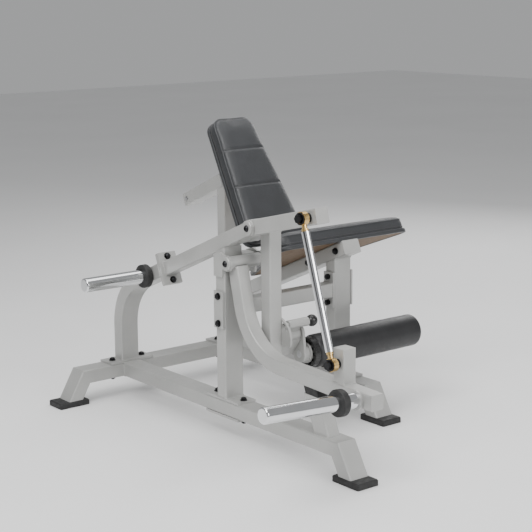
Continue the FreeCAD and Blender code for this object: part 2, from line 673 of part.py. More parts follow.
# --- swing lever ------------------------------------------------------------------------
SWING_DIR = slope(SWING_ARM_SLOPE)
SWING_UP = square_to(SWING_ARM_SLOPE)
swing_length = (SWING_Y - SWING_ARM_END_Y) / math.cos(math.radians(SWING_ARM_SLOPE))
swing_end = SWING_AT + SWING_DIR * swing_length
arm = tube(SWING_AT + SWING_DIR * 8, swing_end, X, 50, 50, 4)
arm = arm.cut(cross_rod(-40, 100, SWING_Y, SWING_Z, SWING_HUB_R))
keep("swing_arm", arm)
x0 = FORK_NEAR_X + SIDE_GAP
keep("swing_hub", hub(x0, x1, SWING_Y, SWING_Z, SWING_HUB_R, BUSH_R))
keep("swing_bushes", bushes(x0, x1, SWING_Y, SWING_Z, BUSH_R, SHAFT_R + RUNNING))
keep("swing_shaft", cross_rod(FORK_NEAR_X - PLATE, FORK_FAR_X + PLATE, SWING_Y, SWING_Z, SHAFT_R))

post_x = Vec(SWING_POST_X, 0, 0)
post = tube(SWING_AT + post_x - Z * 15, Vec(SWING_POST_X, SWING_POST_Y, SWING_POST_BOTTOM), X, 50, 50, 4)
post = post.cut(cross_rod(-40, 100, SWING_Y, SWING_Z, SWING_HUB_R))
POST_NEAR_X, POST_FAR_X = SWING_POST_X - 25, SWING_POST_X + 25
keep("swing_post", post.cut(cross_rod(POST_NEAR_X + 4, POST_FAR_X + 5, ARM_HUB_Y, ARM_HUB_Z, ARM_SHAFT_R)))

sector = cross_rod(POST_FAR_X, POST_FAR_X + 8, ARM_HUB_Y, ARM_HUB_Z, 67.0)
facing = slope(62)
sector = trim(sector, Vec(0, 0, ARM_HUB_Z - 24), Z * -1)
sector = trim(sector, Vec(0, ARM_HUB_Y, ARM_HUB_Z) - facing * 27, facing * -1)
pin_radius = math.hypot(PIN_HUB_Y - ARM_HUB_Y, PIN_HUB_Z - ARM_HUB_Z)
pin_angle = math.degrees(math.atan2(PIN_HUB_Z - ARM_HUB_Z, ARM_HUB_Y - PIN_HUB_Y))
for step in range(-1, 4):
    at = Vec(0, ARM_HUB_Y, ARM_HUB_Z) + slope(pin_angle + 15 * step) * pin_radius
    sector = sector.cut(cross_rod(POST_FAR_X, POST_FAR_X + 8, at.y, at.z, 6.5))
keep("sector_plate", sector.cut(cross_rod(POST_FAR_X, POST_FAR_X + 8, ARM_HUB_Y, ARM_HUB_Z, ARM_SHAFT_R)))

# --- roller arm -------------------------------------------------------------------------
ARM_AT = Vec(0, ARM_HUB_Y, ARM_HUB_Z)
ROLLER_AT = Vec(0, ROLLER_Y, ROLLER_Z)
to_roller = ROLLER_AT - ARM_AT
arm_reach = to_roller.Length
to_roller.normalize()
AXLE_R = 12.5
FLANGE_X = 193.0
PIN_TUBE_X0, PIN_TUBE_X1 = 100.0, 184.0
ARM_BUSH_R = 14.0

ARM_PLATE_X = 169.0
cheek = bar(ARM_AT + X * (ARM_PLATE_X + 5), ROLLER_AT + X * (ARM_PLATE_X + 5), X, 10, 60, 1.0)
cheek = fuse(cheek, cross_rod(ARM_PLATE_X, ARM_PLATE_X + 10, ARM_HUB_Y, ARM_HUB_Z, 30.0),
             cross_rod(ARM_PLATE_X, ARM_PLATE_X + 10, ROLLER_Y, ROLLER_Z, 30.0))
boss = cross_rod(ARM_PLATE_X, FLANGE_X, ROLLER_Y, ROLLER_Z, 29.0)
flange = cross_rod(FLANGE_X, FLANGE_X + 7, ROLLER_Y, ROLLER_Z, 35.0)
web_x = X * 138
web = bar(ARM_AT + web_x, Vec(0, PIN_HUB_Y, PIN_HUB_Z) + web_x, X, 50, 12, 2.0)
brace_down = Vec(0, 0.6, -0.8)
brace_at = ARM_AT + X * 137 + Vec(0, 0.8, 0.6) * -22
brace = bar(brace_at, brace_at + brace_down * 78, X, 80, 10, 2.0)
roller_arm = fuse(cheek, boss, flange, web, brace)
roller_arm = roller_arm.fuse(cross_rod(ARM_HUB_X0, ARM_HUB_X1, ARM_HUB_Y, ARM_HUB_Z, ARM_HUB_R))
roller_arm = roller_arm.fuse(cross_rod(PIN_TUBE_X0, PIN_TUBE_X1, PIN_HUB_Y, PIN_HUB_Z, 15.0)).removeSplitter()
roller_arm = roller_arm.cut(cross_rod(ARM_HUB_X0, ARM_HUB_X1, ARM_HUB_Y, ARM_HUB_Z, ARM_BUSH_R))
roller_arm = roller_arm.cut(cross_rod(PIN_TUBE_X0, PIN_TUBE_X1, PIN_HUB_Y, PIN_HUB_Z, 7.0 + RUNNING))
roller_arm = roller_arm.cut(cross_rod(90, FLANGE_X + 7, ROLLER_Y, ROLLER_Z, AXLE_R))
keep("roller_arm", roller_arm)
keep("roller_arm_bushes", bushes(ARM_HUB_X0, ARM_HUB_X1, ARM_HUB_Y, ARM_HUB_Z, ARM_BUSH_R, ARM_SHAFT_R + RUNNING, 26.0))

shaft = cross_rod(POST_NEAR_X + 4, ARM_HUB_X1 + 1, ARM_HUB_Y, ARM_HUB_Z, ARM_SHAFT_R)
shaft = fuse(shaft, cross_rod(ARM_HUB_X1 + 0.5, ARM_HUB_X1 + 3, ARM_HUB_Y, ARM_HUB_Z, 17.0))
keep("roller_arm_shaft", fuse(shaft, hexagon(Vec(ARM_HUB_X1 + 3, ARM_HUB_Y, ARM_HUB_Z), X, 26, 8)))

keep("roller_pin", cross_rod(ARM_HUB_X0, PIN_TUBE_X1 + 18, PIN_HUB_Y, PIN_HUB_Z, 7.0))
knob_x = PIN_TUBE_X1 + 4
knob = Part.makeSphere(20.0, Vec(knob_x + 16, PIN_HUB_Y, PIN_HUB_Z))
knob = trim(knob, Vec(knob_x, 0, 0), X * -1)
keep("roller_pin_knob", knob.cut(cross_rod(knob_x - 5, PIN_TUBE_X1 + 18, PIN_HUB_Y, PIN_HUB_Z, 7.0)))

axle = cross_rod(ARM_PLATE_X, FOAM_X1 + 2, ROLLER_Y, ROLLER_Z, AXLE_R)
axle_end = FOAM_X1 + 2
keep("roller_axle", fuse(axle, cross_rod(axle_end, axle_end + 3, ROLLER_Y, ROLLER_Z, 22.0),
                         hexagon(Vec(axle_end + 3, ROLLER_Y, ROLLER_Z), X, 19, 8)))
SLEEVE_R = 21.0
sleeve_x0 = FLANGE_X + 7.5
keep("roller_sleeve", hub(sleeve_x0, FOAM_X1 + 1.5, ROLLER_Y, ROLLER_Z, SLEEVE_R, AXLE_R + RUNNING))
cap = cross_rod(sleeve_x0, FOAM_X0, ROLLER_Y, ROLLER_Z, 52.0)
ribs = []
for i in range(12):
    a = math.radians(30 * i)
    at = Vec(sleeve_x0 - 1, ROLLER_Y + 37 * math.cos(a), ROLLER_Z + 37 * math.sin(a))
    cap = cap.cut(rod(at, X, 7.0, 9.0))
keep("roller_end_cap", cap.cut(cross_rod(sleeve_x0, FOAM_X0, ROLLER_Y, ROLLER_Z, SLEEVE_R)))
foam = cross_rod(FOAM_X0, FOAM_X1, ROLLER_Y, ROLLER_Z, FOAM_R)
foam = foam.makeFillet(10.0, [e for e in foam.Edges if e.BoundBox.XLength < 0.1])
keep("roller_foam", foam.cut(cross_rod(FOAM_X0, FOAM_X1, ROLLER_Y, ROLLER_Z, SLEEVE_R)))

# --- link rod ---------------------------------------------------------------------------
LINK_TOP = Vec(LINK_X, LINK_TOP_Y, LINK_TOP_Z)
LINK_LOW = Vec(LINK_X, LINK_LOW_Y, LINK_LOW_Z)
link_down = LINK_LOW - LINK_TOP
link_length = link_down.Length
link_down.normalize()
EYE_R = 21.0
EYE_HALF = 9.0
LINK_BOLT_R = 8.0


def rod_end(centre, axis, play):
    """Eye with a threaded shank that screws into the rod."""
    eye = cross_rod(LINK_X - EYE_HALF, LINK_X + EYE_HALF, centre.y, centre.z, EYE_R)
    shank = rod(centre, axis, 8.0, 62)
    collar = rod(centre + axis * 32, axis, 11.0, 8.0)
    end = fuse(eye, shank, collar)
    return end.cut(cross_rod(LINK_X - EYE_HALF, LINK_X + EYE_HALF, centre.y, centre.z, LINK_BOLT_R + play))


keep("link_rod_ends", group([rod_end(LINK_TOP, link_down, RUNNING), rod_end(LINK_LOW, link_down * -1, 0.0)]))
link = rod(LINK_TOP + link_down * 40, link_down, LINK_ROD_R, link_length - 80)
for end, axis in ((LINK_TOP, link_down), (LINK_LOW, link_down * -1)):
    link = link.cut(rod(end + axis * 38, axis, 8.0, 24))
keep("link_rod", link)


def link_bolt(centre, inner_x, gap):
    """Spacer against the lever, shank through the eye, washer and hexagon head outside."""
    spacer = cross_rod(LINK_X + EYE_HALF + gap, inner_x, centre.y, centre.z, 15.0)
    shank = cross_rod(LINK_X - EYE_HALF - 4, inner_x, centre.y, centre.z, LINK_BOLT_R)
    plate = cross_rod(LINK_X - EYE_HALF - gap - 4, LINK_X - EYE_HALF - gap, centre.y, centre.z, 19.0)
    head = hexagon(Vec(LINK_X - EYE_HALF - gap - 4, centre.y, centre.z), X * -1, 24, 10)
    return fuse(spacer, shank, plate, head)


keep("link_bolt_upper", link_bolt(LINK_TOP, -25.0, 0.4))
keep("link_bolt_lower", link_bolt(LINK_LOW, -25.4, 0.0))

# --- fasteners --------------------------------------------------------------------------
bolts = []
nuts = []
for x, y in CROSS_BOLTS:
    bolts.append(bolt(Vec(x, y, POST_Z0), Z * -1, POST_Z0 - BASE_BOTTOM + 14))
    nuts.append(nut(Vec(x, y, BASE_BOTTOM), Z * -1))
for x, y in RAIL_BOLTS:
    bolts.append(bolt(Vec(x, y, POST_Z0), Z * -1, POST_Z0 - BASE_BOTTOM + PLATE + 14))
    nuts.append(nut(Vec(x, y, BASE_BOTTOM - PLATE), Z * -1))
for z in CROSS_BOLT_Z:
    bolts.append(bolt(Vec(-37.5 - PLATE, UPRIGHT_Y, z), X, 75 + 2 * PLATE + 8))
    bolts.append(bolt(Vec(FAR_FACE + PLATE, UPRIGHT_Y, z), X * -1, 75 + 2 * PLATE + 14))
    nuts.append(nut(Vec(NEAR_FACE - PLATE, UPRIGHT_Y, z), X * -1))
for side in (-1, 1):
    seat = arm_start + ARM_DIR * PLATE + ARM_UP * (43 * side)
    bolts.append(bolt(seat, ARM_DIR * -1, 2 * PLATE + 14))
    nuts.append(nut(post_end + ARM_UP * (43 * side), ARM_DIR * -1))
for s in BEAM_BOLTS:
    at = SEAT_MID - SEAT_DIR * s
    bolts.append(bolt(Vec(NEAR_FACE, at.y, at.z), X, TUBE_W + 14))
    nuts.append(nut(Vec(FAR_FACE, at.y, at.z), X))
keep("frame_bolts", group(bolts))
keep("frame_nuts", group(nuts))

small = [bolt(Vec(NEAR_FACE, STOP_BOLT.y, STOP_BOLT.z), X, TUBE_W, 4.0)]
for s in SEAT_SCREWS:
    small.append(bolt(SEAT_CORNER - SEAT_DIR * s - SEAT_UP * WALL, SEAT_UP, WALL + BOARD, 4.0))
keep("seat_screws", group(small))
keep("backrest_screws", group([bolt(mount_centre + offset, BACK_OUT, 6 + BOARD, 4.0) for offset in BACK_SCREWS]))

pivot_washers = []
pivot_bolts = []
for near_x, y, z in ((FORK_NEAR_X - PLATE, SWING_Y, SWING_Z), (BRACKET_NEAR_X - PLATE, LEVER_Y, LEVER_Z)):
    for x, out in ((near_x, X * -1), (FORK_FAR_X + PLATE, X)):
        at = Vec(x, y, z)
        cover = rod(at, out, 24.0, 6.0)
        cover = cover.makeChamfer(1.5, [e for e in cover.Edges if abs(e.BoundBox.Center.x - (x + 6 * out.x)) < 0.1])
        pivot_washers.append(cover)
        head = Part.makeSphere(12.0, at + out * 2.0)
        head = trim(trim(head, at + out * 6.0, out * -1), at + out * 12.0, out)
        head = head.cut(hexagon(at + out * 8.5, out, 7.0, 6.0))
        pivot_bolts.append(head)
keep("pivot_washers", group(pivot_washers))
keep("pivot_bolts", group(pivot_bolts))

# --- export -----------------------------------------------------------------------------
everything = Part.makeCompound(list(PARTS.values())).BoundBox
SHIFT = Vec(-everything.Center.x, -everything.Center.y, -everything.ZMin)
for name, shape in PARTS.items():
    shape.translate(SHIFT)
    shape.exportStep("parts/" + name + ".step")
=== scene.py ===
import json
import math

import bmesh
import bpy
from mathutils import Matrix, Vector
from mathutils.bvhtree import BVHTree


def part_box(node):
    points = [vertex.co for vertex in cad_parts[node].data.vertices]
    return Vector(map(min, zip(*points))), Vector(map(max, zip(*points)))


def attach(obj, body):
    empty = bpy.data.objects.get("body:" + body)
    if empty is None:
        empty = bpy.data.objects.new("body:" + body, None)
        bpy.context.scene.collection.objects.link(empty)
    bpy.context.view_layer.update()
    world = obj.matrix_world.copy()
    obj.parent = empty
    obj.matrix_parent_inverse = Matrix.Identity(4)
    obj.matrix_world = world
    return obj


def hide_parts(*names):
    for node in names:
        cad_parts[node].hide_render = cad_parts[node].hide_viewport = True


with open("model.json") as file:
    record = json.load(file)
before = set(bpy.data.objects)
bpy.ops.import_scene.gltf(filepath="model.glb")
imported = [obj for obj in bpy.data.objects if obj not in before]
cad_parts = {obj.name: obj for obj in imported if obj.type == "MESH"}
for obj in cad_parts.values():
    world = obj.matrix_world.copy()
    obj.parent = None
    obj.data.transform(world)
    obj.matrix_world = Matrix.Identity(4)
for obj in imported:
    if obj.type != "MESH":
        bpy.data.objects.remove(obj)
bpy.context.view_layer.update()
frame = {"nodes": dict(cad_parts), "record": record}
NODES = frame["nodes"]


def centre_of(node, axis):
    low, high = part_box(node)
    return (low[axis] + high[axis]) / 2


# The machine is drawn from the rear post: x across, -y towards the user's feet.
SHIFT = Vector((centre_of("near_rail", 0), centre_of("rear_crossbeam", 1), 0))


def at(x, y, z):
    """A point given in millimetres from the rear post, as the frame's metres."""
    return Vector((x, y, z)) / 1000 + SHIFT


def slope_dir(degrees):
    a = math.radians(degrees)
    return Vector((0, -math.cos(a), math.sin(a)))


def slope_up(degrees):
    a = math.radians(degrees)
    return Vector((0, math.sin(a), math.cos(a)))


X = Vector((1, 0, 0))
Y = Vector((0, 1, 0))
Z = Vector((0, 0, 1))

# --- camera -----------------------------------------------------------
LENS_MM, SENSOR_MM = 93.9025, 36.0
CAM_PLACE = (-2696.7, -4240.0, 1491.2)    # mm from the rear post
CAM_AZIMUTH, CAM_PITCH, CAM_ROLL = 38.405, 11.494, -0.49


def place_camera():
    az, pitch, roll = (math.radians(v) for v in (CAM_AZIMUTH, CAM_PITCH, CAM_ROLL))
    forward = Vector((math.sin(az) * math.cos(pitch), math.cos(az) * math.cos(pitch), -math.sin(pitch)))
    right = Vector((math.cos(az), -math.sin(az), 0))
    up = right.cross(forward)
    side = math.cos(roll) * right + math.sin(roll) * up
    top = -math.sin(roll) * right + math.cos(roll) * up
    data = bpy.data.cameras.new("camera")
    data.sensor_width = SENSOR_MM
    data.lens = LENS_MM
    data.clip_end = 60
    camera = bpy.data.objects.new("camera", data)
    bpy.context.scene.collection.objects.link(camera)
    turn = Matrix((side, top, -forward)).transposed().to_4x4()
    camera.matrix_world = Matrix.Translation(at(*CAM_PLACE)) @ turn
    bpy.context.scene.camera = camera


place_camera()


# --- node helpers -----------------------------------------------------------------------
class Mat:
    """A node material with object coordinates in metres."""

    def __init__(self, name):
        self.material = bpy.data.materials.new(name)
        self.material.use_nodes = True
        self.tree = self.material.node_tree
        self.nodes = self.tree.nodes
        self.shader = self.nodes["Principled BSDF"]
        self.coords = self.nodes.new("ShaderNodeTexCoord").outputs["Object"]

    def link(self, a, b):
        self.tree.links.new(a, b)

    def scaled(self, scale):
        node = self.nodes.new("ShaderNodeMapping")
        node.inputs["Scale"].default_value = scale
        self.link(self.coords, node.inputs["Vector"])
        return node.outputs["Vector"]

    def noise(self, scale, detail=3.0, rough=0.5, stretch=(1, 1, 1)):
        node = self.nodes.new("ShaderNodeTexNoise")
        node.inputs["Scale"].default_value = scale
        node.inputs["Detail"].default_value = detail
        node.inputs["Roughness"].default_value = rough
        self.link(self.scaled(stretch), node.inputs["Vector"])
        return node.outputs["Fac"]

    def cells(self, scale):
        node = self.nodes.new("ShaderNodeTexVoronoi")
        node.feature = "DISTANCE_TO_EDGE"
        node.inputs["Scale"].default_value = scale
        self.link(self.coords, node.inputs["Vector"])
        return node.outputs["Distance"]

    def ramp(self, value, stops):
        node = self.nodes.new("ShaderNodeValToRGB")
        while len(node.color_ramp.elements) < len(stops):
            node.color_ramp.elements.new(0.5)
        for element, (place, colour) in zip(node.color_ramp.elements, stops):
            element.position = place
            element.color = (*colour, 1)
        self.link(value, node.inputs["Fac"])
        return node.outputs["Color"]

    def span(self, value, low, high, start=0.3, end=0.7):
        node = self.nodes.new("ShaderNodeMapRange")
        node.inputs["From Min"].default_value = start
        node.inputs["From Max"].default_value = end
        node.inputs["To Min"].default_value = low
        node.inputs["To Max"].default_value = high
        self.link(value, node.inputs["Value"])
        return node.outputs["Result"]

    def bump(self, value, strength, distance, below=None):
        node = self.nodes.new("ShaderNodeBump")
        node.inputs["Strength"].default_value = strength
        node.inputs["Distance"].default_value = distance
        self.link(value, node.inputs["Height"])
        if below is not None:
            self.link(below, node.inputs["Normal"])
        return node.outputs["Normal"]

    def finish(self, colour, roughness, normal, **values):
        self.link(colour, self.shader.inputs["Base Color"])
        self.link(roughness, self.shader.inputs["Roughness"])
        self.link(normal, self.shader.inputs["Normal"])
        for key, value in values.items():
            self.shader.inputs[key.replace("_", " ")].default_value = value
        return self.material


def times(tone, factor):
    return [c * factor for c in tone]


def powder_coat(name, tone):
    m = Mat(name)
    colour = m.ramp(m.noise(7.0, 4.0), [(0.3, times(tone, 0.93)), (0.7, times(tone, 1.05))])
    rough = m.span(m.noise(40.0, 3.0), 0.34, 0.46)
    normal = m.bump(m.noise(750.0, 2.0, 0.6), 0.16, 0.0006)
    normal = m.bump(m.noise(90.0, 2.0), 0.05, 0.002, normal)
    return m.finish(colour, rough, normal, Metallic=0.25, Coat_Weight=0.25, Coat_Roughness=0.22)


def plated(name, tone, low, high, stretch, wear=0.05):
    m = Mat(name)
    colour = m.ramp(m.noise(14.0, 4.0), [(0.3, times(tone, 0.92)), (0.7, tone)])
    rough = m.span(m.noise(60.0, 5.0, 0.7, stretch), low, high)
    normal = m.bump(m.noise(260.0, 4.0, 0.7, stretch), wear, 0.0004)
    return m.finish(colour, rough, normal, Metallic=1.0)


def vinyl(name, tone):
    m = Mat(name)
    colour = m.ramp(m.noise(9.0, 5.0, 0.6), [(0.3, times(tone, 0.82)), (0.72, times(tone, 1.18))])
    rough = m.span(m.noise(55.0, 4.0), 0.36, 0.5)
    grain = m.bump(m.cells(520.0), 0.35, 0.0011)
    normal = m.bump(m.noise(60.0, 4.0, 0.6), 0.14, 0.004, grain)
    return m.finish(colour, rough, normal, Specular_IOR_Level=0.55, Sheen_Weight=0.08)


def moulded(name, tone, grain, low, high, strength=0.2):
    m = Mat(name)
    colour = m.ramp(m.noise(25.0, 4.0), [(0.3, times(tone, 0.8)), (0.7, times(tone, 1.2))])
    rough = m.span(m.noise(80.0, 3.0), low, high)
    normal = m.bump(m.noise(grain, 3.0, 0.6), strength, 0.0008)
    return m.finish(colour, rough, normal)


def plywood(name):
    m = Mat(name)
    wave = m.nodes.new("ShaderNodeTexWave")
    wave.inputs["Scale"].default_value = 9.0
    wave.inputs["Distortion"].default_value = 6.0
    wave.inputs["Detail"].default_value = 3.0
    m.link(m.scaled((3.0, 0.5, 1.0)), wave.inputs["Vector"])
    colour = m.ramp(wave.outputs["Fac"], [(0.2, (0.12, 0.075, 0.04)), (0.8, (0.2, 0.13, 0.075))])
    normal = m.bump(m.noise(180.0, 4.0, 0.7, (6, 1, 6)), 0.3, 0.001)
    return m.finish(colour, m.span(m.noise(50.0), 0.6, 0.78), normal)


GREY = (0.4, 0.4, 0.388)
MATS = {
    "frame_paint": powder_coat("silver_powder_coat", GREY),
    "lever_paint": powder_coat("silver_powder_coat_levers", GREY),
    "zinc": plated("bright_zinc", (0.6, 0.61, 0.62), 0.22, 0.4, (1, 1, 1)),
    "chrome": plated("polished_chrome", (0.78, 0.79, 0.8), 0.05, 0.13, (8, 1, 1)),
    "steel": plated("plain_steel", (0.42, 0.42, 0.43), 0.3, 0.5, (1, 1, 1)),
    "black_oxide": plated("black_oxide", (0.035, 0.035, 0.037), 0.28, 0.45, (1, 1, 1), 0.2),
    "brass": plated("yellow_zinc", (0.68, 0.47, 0.2), 0.2, 0.38, (1, 1, 1)),
    "rubber": moulded("foot_rubber", (0.014, 0.014, 0.014), 600.0, 0.5, 0.7, 0.35),
    "vinyl": vinyl("charcoal_vinyl", (0.022, 0.0235, 0.026)),
    "plywood": plywood("bare_plywood"),
    "foam": moulded("skinned_foam", (0.012, 0.012, 0.013), 1100.0, 0.36, 0.5, 0.35),
    "plastic": moulded("moulded_plastic", (0.012, 0.012, 0.012), 300.0, 0.22, 0.36, 0.08),
}
SLOT_OF = {row["node"]: row["material_slot"] for row in frame["record"]["subparts"]}


def wear(obj, material):
    obj.data.materials.clear()
    obj.data.materials.append(material)


for name, node in NODES.items():
    wear(node, MATS[SLOT_OF[name]])


# --- mesh helpers -----------------------------------------------------------------------
def new_object(name, mesh, body, slot, smooth=True):
    obj = bpy.data.objects.new(name, mesh)
    bpy.context.scene.collection.objects.link(obj)
    for poly in mesh.polygons:
        poly.use_smooth = smooth
    wear(obj, MATS[slot])
    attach(obj, body)
    return obj


def mesh_from(name, verts, faces):
    mesh = bpy.data.meshes.new(name)
    mesh.from_pydata([tuple(v) for v in verts], [], faces)
    mesh.update()
    return mesh


def face_outward(mesh, merge=False):
    """Turn every face outward, after joining points that coincide."""
    work = bmesh.new()
    work.from_mesh(mesh)
    if merge:
        bmesh.ops.remove_doubles(work, verts=work.verts, dist=1e-6)
    bmesh.ops.recalc_face_normals(work, faces=work.faces)
    work.to_mesh(mesh)
    work.free()


def swept(name, points, radii, body, slot, sides=8):
    """Closed ring of tube along points; its radius may differ from point to point."""
    n = len(points)
    verts = []
    for i, p in enumerate(points):
        run = (points[(i + 1) % n] - points[i - 1]).normalized()
        side = run.cross(Z if abs(run.z) < 0.9 else X).normalized()
        other = run.cross(side)
        for k in range(sides):
            a = 2 * math.pi * k / sides
            verts.append(p + (side * math.cos(a) + other * math.sin(a)) * radii[i])
    faces = []
    for i in range(n):
        j = (i + 1) % n
        for k in range(sides):
            m = (k + 1) % sides
            faces.append((i * sides + k, i * sides + m, j * sides + m, j * sides + k))
    mesh = mesh_from(name, verts, faces)
    face_outward(mesh)
    return new_object(name, mesh, body, slot)


def lathe(name, centre, axis, profile, body, slot, steps=64):
    """Turned piece: profile is a closed loop of (along, radius) in metres."""
    side = axis.cross(Z if abs(axis.z) < 0.9 else X).normalized()
    other = axis.cross(side)
    verts = []
    for i in range(steps):
        a = 2 * math.pi * i / steps
        out = side * math.cos(a) + other * math.sin(a)
        verts.extend(centre + axis * s + out * r for s, r in profile)
    n = len(profile)
    faces = []
    for i in range(steps):
        j = (i + 1) % steps
        for k in range(n):
            m = (k + 1) % n
            faces.append((i * n + k, i * n + m, j * n + m, j * n + k))
    mesh = mesh_from(name, verts, faces)
    face_outward(mesh, merge=True)
    return new_object(name, mesh, body, slot)


# --- weld beads -------------------------------------------------------------------------
BEAD = 0.0026            # bead radius, m
BEAD_SIDES = 6
BEAD_STEP = 0.0018
TUBE, WIDE_TUBE = 0.050, 0.075
PROUD = 0.0005           # how far a bead stands off its joint, m


def rect_loop(centre, u, v, width, height, radius=0.005):
    """Points round a rounded rectangle, one bead step apart."""
    points = []
    for i, (su, sv) in enumerate(((1, 1), (-1, 1), (-1, -1), (1, -1))):
        for step in range(5):
            a = math.radians(90 * i + 22.5 * step)
            points.append(centre + u * (su * (width / 2 - radius) + radius * math.cos(a))
                          + v * (sv * (height / 2 - radius) + radius * math.sin(a)))
    dense = []
    for i, p in enumerate(points):
        q = points[(i + 1) % len(points)]
        count = max(1, round((q - p).length / BEAD_STEP))
        dense.extend(p.lerp(q, k / count) for k in range(count))
    return dense


def bead(name, points, body, slot="frame_paint"):
    radii = [BEAD * (1 + 0.16 * math.sin(i * 1.05) + 0.06 * math.sin(i * 0.37)) for i in range(len(points))]
    return swept("weld_" + name, points, radii, body, slot, BEAD_SIDES)


LEVER_SLOPE = -math.degrees(math.atan2(300.6 - 277.1, 1362.0 - 760.6))
LEVER_END = at(0, -1362.0, 277.1)
SEAT_X = 482.0
PLATE_TOP_Z = 133.5      # beads on the base plates
ARM_SLOPE = 23.0
FLANGE_Y, POST_CORNER_Z = -282.0, 393.0

POSTS = (("upright", 0, -640), ("seat_post", SEAT_X, -640), ("curved_post", 0, 0), ("rear_post", SEAT_X, 0))
for name, x, y in POSTS:
    bead(name + "_base", rect_loop(at(x, y, PLATE_TOP_Z), X, Y, WIDE_TUBE, TUBE), "frame")
for name, x in (("near", 46.5), ("far", SEAT_X - 46.5)):
    bead("crossmember_" + name, rect_loop(at(x, -640, 436), Y, Z, TUBE, TUBE), "frame")
for name, x in (("near", 0), ("far", SEAT_X)):
    bead("rail_" + name, rect_loop(at(x, -38.2, 100), X, Z, WIDE_TUBE, TUBE), "frame")
arm_dir, arm_up = slope_dir(ARM_SLOPE), slope_up(ARM_SLOPE)
flange_mid = at(0, FLANGE_Y, POST_CORNER_Z - FLANGE_Y * math.tan(math.radians(ARM_SLOPE))) + arm_dir * 0.008
bead("arm_flange", rect_loop(flange_mid + arm_dir * 0.0085, X, arm_up, TUBE, TUBE), "frame")
bead("post_flange", rect_loop(flange_mid - arm_dir * 0.0085, X, arm_up, WIDE_TUBE, TUBE), "frame")


def cut_loop(x, y, half_x, half_y, plane_point, plane_normal):
    """Rounded rectangle of an upright tube projected up onto a sloping face."""
    flat = rect_loop(at(x, y, 0), X, Y, 2 * half_x / 1000, 2 * half_y / 1000)
    points = []
    for p in flat:
        rise = (plane_point - p).dot(plane_normal) / plane_normal.z
        points.append(p + Z * rise)
    return points


lever_up = slope_up(LEVER_SLOPE)
lever_top = LEVER_END + lever_up * (TUBE / 2 + PROUD)
bead("lever_post", cut_loop(0, -1216, 25, 25, lever_top, lever_up), "loading_lever", "lever_paint")
bead("sector", rect_loop(at(86.5, -788, 351), Y, Z, TUBE, 0.06), "swing_lever", "lever_paint")
bead("stop_post", cut_loop(0, -1134.5, 25, 34.5, at(0, 0, 125.5), Z), "frame")
seat_up = slope_up(23.3)
seat_front = at(SEAT_X, -700, 617)
seat_under = seat_front - seat_up * (TUBE + PROUD)
bead("seat_beam_front", cut_loop(SEAT_X, -640, 37.5, 25, seat_under, seat_up), "frame")
slide_up = slope_up(23.5)
slide_rear = at(SEAT_X, 256, 673.5)
bead("slide_tube", cut_loop(SEAT_X, 0, 37.5, 25, slide_rear - slide_up * (TUBE + PROUD), slide_up), "frame")

# --- cushions ---------------------------------------------------------------------------
BOARD, CUSHION = 0.012, 0.053
VOXEL, QUICK_VOXEL = 0.006, 0.008
CROWN_CAP = 0.0075                      # most that the cloth may move a point
EVEN_ROUNDS = 40
INSET = 0.004
CHANNEL_DEPTH, CHANNEL_WIDTH = 0.0045, 0.0045
RING_POINTS = 420


def local_frame(origin, u, w):
    """Matrix from a cushion's own coordinates (along, across, out) to the frame."""
    m = Matrix((u, X, w)).transposed().to_4x4()
    m.translation = origin
    return m


def shrunk_copy(node, name, place, inset, low, thickness):
    """Copy of a CAD cushion, drawn in a little from its sides and its face."""
    mesh = NODES[node].data.copy()
    mesh.name = name
    mesh.transform(place.inverted())
    us = [v.co.x for v in mesh.vertices]
    mid = (min(us) + max(us)) / 2
    long_half = (max(us) - min(us)) / 2
    wide = max(abs(v.co.y) for v in mesh.vertices)
    for v in mesh.vertices:
        v.co.x = mid + (v.co.x - mid) * (1 - inset / long_half)
        v.co.y *= 1 - inset / wide
        v.co.z = low + (v.co.z - low) * (1 - inset / thickness)
    obj = bpy.data.objects.new(name, mesh)
    bpy.context.scene.collection.objects.link(obj)
    return obj


def apply_all(obj):
    """Replace the mesh by what its modifiers make of it."""
    graph = bpy.context.evaluated_depsgraph_get()
    made = bpy.data.meshes.new_from_object(obj.evaluated_get(graph))
    obj.modifiers.clear()
    obj.data = made


def even_out(mesh, moves, rounds):
    """Average each vertex's move with its neighbours', so that no crease is left."""
    near = [[] for _ in mesh.vertices]
    for edge in mesh.edges:
        a, b = edge.vertices
        near[a].append(b)
        near[b].append(a)
    for _ in range(rounds):
        moves = [(move + sum((moves[k] for k in near[i]), Vector())) / (1 + len(near[i]))
                 for i, move in enumerate(moves)]
    return moves


def inflate(obj, low):
    """Cloth under pressure, its underside held to the board."""
    remesh = obj.modifiers.new("remesh", "REMESH")
    remesh.mode = "VOXEL"
    remesh.voxel_size = VOXEL
    apply_all(obj)
    start = [v.co.copy() for v in obj.data.vertices]
    held = obj.vertex_groups.new(name="held")
    held.add([v.index for v in obj.data.vertices if v.co.z < low + 0.006], 1.0, "REPLACE")
    cloth = obj.modifiers.new("cloth", "CLOTH")
    cloth.settings.use_pressure = True
    cloth.settings.uniform_pressure_force = 4.0
    cloth.settings.vertex_group_mass = "held"
    cloth.settings.effector_weights.gravity = 0
    cloth.settings.tension_stiffness = 25
    cloth.settings.compression_stiffness = 25
    cloth.settings.bending_stiffness = 2.0
    cloth.point_cache.frame_start = 1
    cloth.point_cache.frame_end = 20
    scene = bpy.context.scene
    for step in range(1, 21):
        scene.frame_set(step)
    apply_all(obj)
    moves = even_out(obj.data, [v.co - p for v, p in zip(obj.data.vertices, start)], EVEN_ROUNDS)
    for v, p, move in zip(obj.data.vertices, start, moves):
        size = max(move.length, 1e-7)
        v.co = p + move * (CROWN_CAP * math.tanh(size / CROWN_CAP) / size)
    scene.frame_set(1)


